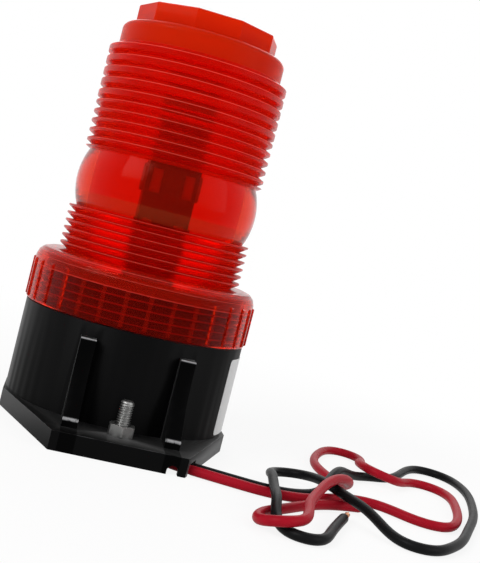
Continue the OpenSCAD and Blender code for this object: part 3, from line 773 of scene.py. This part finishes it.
def thread_wave(z, angle, pitch):
    """Height of a thread from 0 to 1: a rounded ridge that climbs by one pitch in each turn."""
    wave = 0.5 + 0.5 * np.cos(2.0 * math.pi * (z / pitch) - angle)
    return wave ** 1.5


def revolved(profile, angle):
    """Radius and height grids of a round profile (n, 2) at the given column angles."""
    ones = np.ones_like(angle)
    return profile[:, :1] * ones, profile[:, 1:] * ones


def lens_angles(grips, half, facets, turn):
    """Column angles: nine to each grip rib, closest over the rib, and three at each edge of the faceted
    top."""
    period = 2.0 * math.pi / grips
    over_rib = half * np.array([-1.2, -0.8, 0.0, 0.8, 1.2])
    between = period * np.array([0.25, 0.42, 0.58, 0.75])
    ribs = period * np.arange(grips)[:, None] + np.concatenate([over_rib, between])
    edges = turn + round_angles(facets)[:, None] + np.array([-0.012, 0.0, 0.012])
    angle = np.sort(np.concatenate([ribs.ravel(), edges.ravel()]) % (2.0 * math.pi))
    return angle[np.r_[True, np.diff(angle) > 0.002]]


def bore_rows(look, angle):
    """The collar's bore from the seat down: its radius follows the thread's wave, faded at both ends."""
    thread_foot = COLLAR_Z + 0.0008
    thread_top = 0.0458
    runout = 0.001
    groove = 0.0004
    height = np.linspace(SEAT_Z - 0.0016, COLLAR_Z + 0.0004, 44)[:, None]
    fade = ramp(height - thread_foot, runout) * ramp(thread_top - height, runout)
    radius = look.bore + groove * fade * thread_wave(height, angle, look.pitch)
    return radius, height * np.ones_like(angle)


def collar_rows(look, angle, half):
    """The collar's lower edge and side: round, apart from the grip ribs, which add a trapezoid of height."""
    rib_foot = COLLAR_Z + 0.00045
    rib_top = COLLAR_TOP_Z - 0.00045
    slope = 0.0003
    side = np.linspace(COLLAR_Z + 0.0004, COLLAR_TOP_Z, 16)
    side = np.sort(np.concatenate([side, [rib_foot, rib_foot + slope, rib_top - slope, rib_top]]))
    profile = np.vstack([[look.bore + 0.0003, COLLAR_Z], [look.collar - 0.0004, COLLAR_Z],
                         [look.collar - 0.0001, COLLAR_Z + 0.0001],
                         np.column_stack([np.full(len(side), look.collar), side])])
    radius, height = revolved(profile, angle)
    period = 2.0 * math.pi / look.grips
    from_rib = np.abs((angle + period / 2) % period - period / 2) / half
    across_rib = ramp(1.2 - from_rib, 0.4)
    along_rib = ramp(height - rib_foot, slope) * ramp(rib_top - height, slope)
    return radius + look.grip_height * across_rib * along_rib, height


def rib_profile(look):
    """Corners up the outside, each a little softened: the collar's rounded top, the lower ribs, the barrel's
    arc, the lip, the fine and the coarse ribs, and the step with its rounded edge."""
    over = soften(arc((look.collar - COLLAR_ROUND, COLLAR_TOP_Z), COLLAR_ROUND, 4, 90, 4), 0.00015)
    barrel_end = 0.0268
    bulge = look.barrel - barrel_end
    bow = (BARREL_HALF ** 2 + bulge ** 2) / (2.0 * bulge)
    sweep = math.degrees(math.asin(BARREL_HALF / bow))
    corners = np.vstack([
        over[-1:],
        rib_run(SHOULDER_Z, LOWER_RIBS, LOWER_PITCH, look.root, look.lower_crest, rise=0.72, land=0.2),
        [[look.root, BARREL_Z]],
        arc((look.barrel - bow, BARREL_Z + BARREL_HALF), bow, -sweep, sweep, 12),
        [[look.crest, LIP_Z + 0.0009]],
        rib_run(FINE_Z, FINE_RIBS, FINE_PITCH, look.root, look.crest, rise=0.42, land=0.24),
        rib_run(COARSE_Z, COARSE_RIBS, COARSE_PITCH, look.root, look.crest, rise=0.12, land=0.5),
        [[STEP_R, STEP_Z]],
        arc((STEP_R - STEP_EDGE, STEP_ROUND_Z), STEP_EDGE, 0, 80, 5),
        [[STEP_R - STEP_EDGE - 0.0001, CAP_Z]]])
    return np.vstack([over, soften(corners, 0.00016)[1:]])


def top_rows(look, angle):
    """The faceted cap: the radius at each angle is that of a polygon, with a fillet at its foot and an eased
    upper edge, and then shrinks in even steps towards the middle of the flat top."""
    sector = 2.0 * math.pi / look.facets
    facet = FACET_R * math.cos(sector / 2) / np.cos((angle - look.facet_turn) % sector - sector / 2)
    tall = TOP_Z - CAP_Z
    rise = np.array([[0.0009, 0.0], [0.0003, 0.00008], [0.0, 0.0004], [0.0, 0.002], [0.0, tall - 0.0006],
                     [-0.00018, tall - 0.00018], [-0.0006, tall]])
    flat = np.array([0.8, 0.6, 0.4, 0.2])[:, None] * (facet - 0.0006)
    height = CAP_Z + rise[:, 1:] * np.ones_like(angle)
    return np.vstack([facet + rise[:, :1], flat]), np.vstack([height, np.full_like(flat, TOP_Z)])


def lens_surface(look):
    """The whole lens as one closed skin. Rows run from the middle of the hollow's ceiling down the inside,
    across the collar's lower edge and up the outside to the middle of the top. Each row is turned round the
    axis through the column angles."""
    half_rib = 0.0007
    half = half_rib / look.collar
    angle = lens_angles(look.grips, half, look.facets, look.facet_turn)
    ceiling = TOP_Z - 0.0022
    cap_r = 0.0184
    hollow = CAP_Z - 0.0014
    hollow_r = 0.0233
    foot_r = 0.0244
    inside = soften(np.array([[0.004, ceiling], [cap_r, ceiling], [cap_r, hollow], [hollow_r, hollow],
                              [foot_r, SEAT_Z], [look.bore, SEAT_Z], [look.bore, SEAT_Z - 0.0014]]), 0.0004)
    radius, height = zip(revolved(inside, angle), bore_rows(look, angle), collar_rows(look, angle, half),
                         revolved(rib_profile(look), angle), top_rows(look, angle))
    points = turned(np.vstack(radius), angle, np.vstack(height))
    return skin(points, (0.0, 0.0, ceiling), (0.0, 0.0, TOP_Z))


def neck_thread(pitch):
    """The thread on the neck: a sleeve whose outer radius follows the thread's wave and fades out at both
    ends."""
    angle = round_angles(200)
    ridge = 0.00066
    proud = 0.00002
    sunk = 0.0004
    plain = 0.0008
    runout = 0.0012
    height = np.linspace(LEDGE_Z + plain / 2, NECK_Z - plain / 2, 64)[:, None]
    fade = ramp(height - LEDGE_Z - plain, runout) * ramp(NECK_Z - plain - height, runout)
    outer = NECK_R + proud + ridge * fade * thread_wave(height, angle, pitch)
    inner = np.full((1, len(angle)), NECK_R - sunk)
    level = np.vstack([height[:1], height, height[-1:]])
    return skin(turned(np.vstack([inner, outer, inner]), angle, level), ring=True)


def stud(y):
    """A screw's free end: its radius follows a fine thread's wave, fainter near the tip, which is rounded
    off."""
    angle = round_angles(56)
    outer = 0.002
    pitch = 0.0007
    depth = 0.00036
    runout = 0.0006
    rounding = 0.0007
    foot = FLANGE_Z - 0.0012
    tip = STUD_TOP_Z - rounding
    height = np.linspace(foot, tip, 150)[:, None]
    fade = ramp(tip - height, runout)
    wave = np.abs(2.0 * ((height / pitch - angle / (2.0 * math.pi)) % 1.0) - 1.0)
    radius = outer - depth * np.clip(wave * 1.25 - 0.1, 0.0, 1.0) * (0.4 + 0.6 * fade)
    tip_r, tip_z = revolved(arc((0.0011, tip), rounding, 12, 84, 6), angle)
    level = np.vstack([height * np.ones_like(angle), tip_z])
    points = turned(np.vstack([radius, tip_r]), angle, level, y)
    return skin(points, (0.0, y, foot), (0.0, y, STUD_TOP_Z))


def hex_nut(y, flats=0.007, thick=0.0032, bore=0.0021):
    """A nut: the outer radius at each angle is that of a hexagon, cut back by a shallow cone above and
    below, so each side ends in an arc; the bore is round and countersunk."""
    steps = np.array([0.0, 0.03, 0.12, 0.3, 0.5, 0.7, 0.88, 0.97])
    angle = ((np.arange(6)[:, None] + steps) * math.pi / 3).ravel() + math.pi / 6
    corner = flats / 2 / math.cos(math.pi / 6)
    bevel = 0.5 * (corner - flats / 2)
    side = flats / 2 / np.cos((angle + math.pi / 6) % (math.pi / 3) - math.pi / 6)
    side = np.minimum(side, corner - 0.00006)
    low = np.maximum(side - corner + bevel, 0.0)
    high = thick - bevel + (corner - side) / 2
    flat = np.ones_like(angle)
    radius = np.stack([(bore + 0.0002) * flat, np.minimum(side, corner - bevel), side, side, side,
                       flats / 2 * flat, (bore + 0.0003) * flat, bore * flat, bore * flat])
    level = np.stack([0 * flat, 0 * flat, low + 0.00002, thick / 2 * flat, high - 0.00002, thick * flat,
                      thick * flat, (thick - 0.0004) * flat, 0.0003 * flat])
    return skin(turned(radius, angle, FLANGE_Z + level, y), ring=True)


def side_plate():
    """A thin bent plate on the body's right side. Its outline is a rectangle with rounded corners, sampled
    evenly, in arc length round the body and height. Rows shrink that outline towards its middle: outwards on
    the back, over the edge, and inwards on the front; each point then wraps round the body."""
    corner = 0.0012
    half_width = 0.0188
    half_height = 0.012
    middle_z = 0.0183
    lift = 0.00016
    quarter = np.radians(np.linspace(0, 90, 7))
    turn = (np.arange(4)[:, None] * math.pi / 2 + quarter).ravel()
    across = np.repeat([1, -1, -1, 1], 7) * (half_width - corner) + corner * np.cos(turn)
    up = np.repeat([1, 1, -1, -1], 7) * (half_height - corner) + corner * np.sin(turn)
    outline = np.column_stack([across, up])
    outline = np.vstack([outline, outline[:1]])
    run = np.concatenate([[0.0], np.cumsum(np.linalg.norm(np.diff(outline, axis=0), axis=1))])
    even = np.linspace(0.0, run[-1], 241)[:-1]
    across = np.interp(even, run, outline[:, 0])
    up = np.interp(even, run, outline[:, 1])
    inner = np.linspace(0.05, 0.99, 20)
    share = np.concatenate([inner, [1.0, 1.0], inner[::-1]])[:, None]
    side = np.concatenate([np.full(21, -1.0), [0.6], np.ones(20)])[:, None]
    points = turned(BODY_R + lift * side, share * across / BODY_R, middle_z + share * up)
    return skin(points, (BODY_R - lift, 0.0, middle_z), (BODY_R + lift, 0.0, middle_z))


def stand(name, data, place, right, up, back):
    """A camera or lamp at a place, turned by its own three axes."""
    made = bpy.data.objects.new(name, data)
    turn = Matrix(np.column_stack([right, up, back]).tolist()).to_4x4()
    made.matrix_world = Matrix.Translation(place) @ turn
    bpy.context.scene.collection.objects.link(made)
    return made


def soft_lamp(name, place, aim, size, watts):
    """A square lamp at a place, turned to face an aim."""
    lamp = bpy.data.lights.new(name, "AREA")
    lamp.shape = "SQUARE"
    lamp.size = size
    lamp.energy = watts
    back = np.array(place) - np.array(aim)
    back /= np.linalg.norm(back)
    side = np.cross((0.0, 0.0, 1.0), back)
    side /= np.linalg.norm(side)
    stand(name, lamp, place, side, np.cross(back, side), back)


class BEACON_OT_camera(bpy.types.Operator):
    """Set the camera at the photograph's place, height and tilt"""

    bl_idname = "beacon.camera"
    bl_label = "Camera"

    def execute(self, context):
        place = (-0.02719, -0.32206, 0.06786)
        yaw, pitch, roll = -0.1738, -0.0442, 0.2489
        right = np.array([math.cos(yaw), math.sin(yaw), 0.0])
        level = np.array([-math.sin(yaw), math.cos(yaw), 0.0])
        forward = math.cos(pitch) * level + math.sin(pitch) * np.array([0.0, 0.0, 1.0])
        up = np.cross(right, forward)
        rolled_right = math.cos(roll) * right + math.sin(roll) * up
        rolled_up = -math.sin(roll) * right + math.cos(roll) * up
        data = bpy.data.cameras.new("camera")
        data.sensor_width = 36.0
        data.sensor_fit = "AUTO"
        data.lens = 65.18
        data.clip_start = 0.01
        context.scene.camera = stand("camera", data, place, rolled_right, rolled_up, -forward)
        return {"FINISHED"}


class BEACON_OT_wires(bpy.types.Operator):
    """Make the two supply wires, their bare ends and the leads inside the base"""

    bl_idname = "beacon.wires"
    bl_label = "Wires"

    def execute(self, context):
        look = context.scene.beacon.wires
        bare = copper()
        wires = (("red", RED_ROUTE, look.red, look.red_bare, LEAD_ROUTE),
                 ("black", BLACK_ROUTE, look.black, look.black_bare, LEAD_ROUTE + LEAD_STEP))
        for name, route, colour, stripped, lead_route in wires:
            finish = insulation(name + "_insulation", colour)
            path = laid_route(route, look.diameter)
            jacket = piece(name + "_wire_jacket", wire_jacket(path, look.diameter), finish, "base",
                           replaces=(name + "_wire",))
            strands = piece(name + "_wire_strands", strand_bundle(path, look.core, stripped), bare, "base",
                            replaces=(name + "_wire_end",))
            inner = 2.0 * route[0] - route[1]
            lead = laid_route(np.vstack([route[0], inner, lead_route]), look.diameter, relax=0.001)
            inside = wire_jacket(lead, look.diameter, up=(1.0, 0.4, 0.0))
            piece(name + "_lead_jacket", inside, finish, "base",
                  replaces=(name + "_lead",))
        return {"FINISHED"}


class BEACON_OT_lens(bpy.types.Operator):
    """Make the ribbed lens with its collar, grip ribs and inner thread"""

    bl_idname = "beacon.lens"
    bl_label = "Lens"

    def execute(self, context):
        look = context.scene.beacon.lens
        # The last number of each run places a rib's painted highlight line
        runs = ((SHOULDER_Z, BARREL_Z, LOWER_PITCH, 0.92), (FINE_Z, COARSE_Z, FINE_PITCH, 0.66),
                (COARSE_Z, STEP_Z, COARSE_PITCH, 0.62))
        clear_top = 0.0445
        levels = ((0.0, 0.02), (clear_top, 0.16), (SHOULDER_Z, 0.4), (BARREL_Z, 0.05), (LIP_Z, 0.38),
                  (STEP_Z, 0.5))
        # Heights of the painted highlight lines round the shoulder
        lines = (0.0447, 0.0476, 0.0497)
        # The last two pairs set the foot and top of the painted sheen band on the barrel
        finish = red_lens(look, runs, levels, lines, painted_sheen_foot=(0.0649, 0.0655), painted_sheen_top=(0.0690, 0.0698))
        piece("lens_shell", lens_surface(look), finish, "lens", replaces=("lens",))
        return {"FINISHED"}


class BEACON_OT_base(bpy.types.Operator):
    """Make the base housing, its bottom cover, the neck's thread, the seal and the blank plate"""

    bl_idname = "beacon.base"
    bl_label = "Base"

    def execute(self, context):
        look = context.scene.beacon.base
        plastic = black_plastic(look.plastic)
        eased_copy("base_housing", "housing_shell", plastic, "base", width=look.edge)
        eased_copy("bottom_cover", "bottom_plate", plastic, "base", width=0.0003)
        crests = thread_plastic(look.plastic, root=NECK_R + 0.00042, crest=NECK_R + 0.00064)
        piece("neck_thread", neck_thread(context.scene.beacon.lens.pitch), crests, "base")
        seal = rubber("seal_rubber", (0.012, 0.012, 0.012))
        eased_copy("seal_ring", "rubber_seal", seal, "seal", width=0.0003)
        piece("side_plate", side_plate(), blank_plate(look.plate), "base", crease=50.0)
        return {"FINISHED"}


class BEACON_OT_fasteners(bpy.types.Operator):
    """Make the mounting screws and nuts and the small screws"""

    bl_idname = "beacon.fasteners"
    bl_label = "Fasteners"

    def execute(self, context):
        zinc = zinc_plate(context.scene.beacon.base.zinc)
        eased_copy("mounting_screws", "screw_heads", zinc, "base", width=0.0002,
                   cut_above=FLANGE_Z - 0.0008)
        studs = joined([stud(-BOLT_Y), stud(BOLT_Y)])
        piece("screw_threads", studs, zinc, "base", crease=70.0)
        pair = joined([hex_nut(-BOLT_Y), hex_nut(BOLT_Y)])
        nuts = piece("nuts", pair, zinc, "base", crease=25.0, replaces=("mounting_nuts",))
        ease_edges(nuts, width=0.00007, angle=25.0)
        for node in ("cover_screws", "board_screws"):
            eased_copy(node, node + "_plated", zinc, "base", width=0.00015)
        return {"FINISHED"}


class BEACON_OT_electronics(bpy.types.Operator):
    """Finish the LED tower, the circuit board and the parts on it"""

    bl_idname = "beacon.electronics"
    bl_label = "Electronics"

    def execute(self, context):
        laminate = board_laminate()
        for node in ("circuit_board", "led_board_front", "led_board_back", "led_board_left",
                     "led_board_right", "tower_cap"):
            eased_copy(node, node + "_laminate", laminate, "base", width=0.00015)
        eased_copy("leds", "led_packages", led_package(face=0.009), "base", width=0.0001)
        dark = component("component_black", (0.012, 0.012, 0.013), rough=0.42)
        for node in ("driver_chip", "polarity_diode", "chip_resistors"):
            eased_copy(node, node + "_body", dark, "base", width=0.0001)
        ferrite = component("ferrite", (0.035, 0.034, 0.036), rough=0.5)
        eased_copy("power_inductor", "inductor_core", ferrite, "base", width=0.0002)
        sleeve = component("capacitor_sleeve", (0.01, 0.012, 0.035), rough=0.28)
        eased_copy("smoothing_capacitor", "capacitor_can", sleeve, "base", width=0.0003)
        return {"FINISHED"}


class BEACON_OT_stage(bpy.types.Operator):
    """Set up the pale floor, the white surround and the soft studio lamps"""

    bl_idname = "beacon.stage"
    bl_label = "Stage"

    def execute(self, context):
        look = context.scene.beacon.stage
        scene = context.scene
        scene.view_settings.view_transform = "Standard"

        reach = look.floor
        corners = [(-reach, -reach, 0.0), (reach, -reach, 0.0), (reach, reach, 0.0), (-reach, reach, 0.0)]
        mesh = bpy.data.meshes.new("floor")
        mesh.from_pydata(corners, [], [(0, 1, 2, 3)])
        floor = bpy.data.objects.new("floor", mesh)
        scene.collection.objects.link(floor)
        f = new_finish("pale_floor")
        away = f.from_axis().step(0.1, 0.32)
        glow = f.plain("ShaderNodeEmission", WHITE, Strength=1.0)
        paper = f.plain("ShaderNodeBsdfDiffuse", (0.86, 0.86, 0.86))
        mesh.materials.append(f.close(f.between(f.seen() * (0.87 + away * 0.13), paper, glow)))

        f = Finish(bpy.data.worlds.new("surround"))
        white = f.plain("ShaderNodeBackground", WHITE, Strength=1.0)
        soft = f.plain("ShaderNodeBackground", WHITE, Strength=0.42 * look.light)
        scene.world = f.close(f.between(f.seen(), soft, white), "ShaderNodeOutputWorld")

        aim = (0.0, 0.0, 0.06)
        soft_lamp("key", (-0.56, -0.42, 0.5), aim, size=0.45, watts=4.4 * look.light)
        soft_lamp("fill", (0.6, -0.45, 0.35), aim, size=0.6, watts=2.3 * look.light)
        soft_lamp("back", (0.1, 0.7, 0.6), aim, size=0.7, watts=2.4 * look.light)
        return {"FINISHED"}


class BEACON_PT_panel(bpy.types.Panel):
    """The beacon's pieces and settings"""

    bl_idname = "BEACON_PT_panel"
    bl_label = "Strobe beacon"
    bl_space_type = "VIEW_3D"
    bl_region_type = "UI"
    bl_category = "Beacon"

    def draw(self, context):
        look = context.scene.beacon
        groups = (("beacon.camera", None), ("beacon.wires", look.wires), ("beacon.lens", look.lens),
                  ("beacon.base", look.base), ("beacon.fasteners", None), ("beacon.electronics", None),
                  ("beacon.stage", look.stage))
        for operator, group in groups:
            box = self.layout.box()
            box.operator(operator)
            for name in group.__annotations__ if group else ():
                box.prop(group, name)


CLASSES = (WireLook, LensLook, BaseLook, StageLook, BeaconLook, BEACON_OT_camera, BEACON_OT_wires,
           BEACON_OT_lens, BEACON_OT_base, BEACON_OT_fasteners, BEACON_OT_electronics, BEACON_OT_stage,
           BEACON_PT_panel)


def register():
    for cls in CLASSES:
        bpy.utils.register_class(cls)
    bpy.types.Scene.beacon = PointerProperty(type=BeaconLook)


def unregister():
    del bpy.types.Scene.beacon
    for cls in reversed(CLASSES):
        bpy.utils.unregister_class(cls)


def main():
    register()
    bpy.ops.beacon.camera()
    bpy.ops.beacon.wires()
    bpy.ops.beacon.lens()
    bpy.ops.beacon.base()
    bpy.ops.beacon.fasteners()
    bpy.ops.beacon.electronics()
    bpy.ops.beacon.stage()


if __name__ == "__main__":
    main()
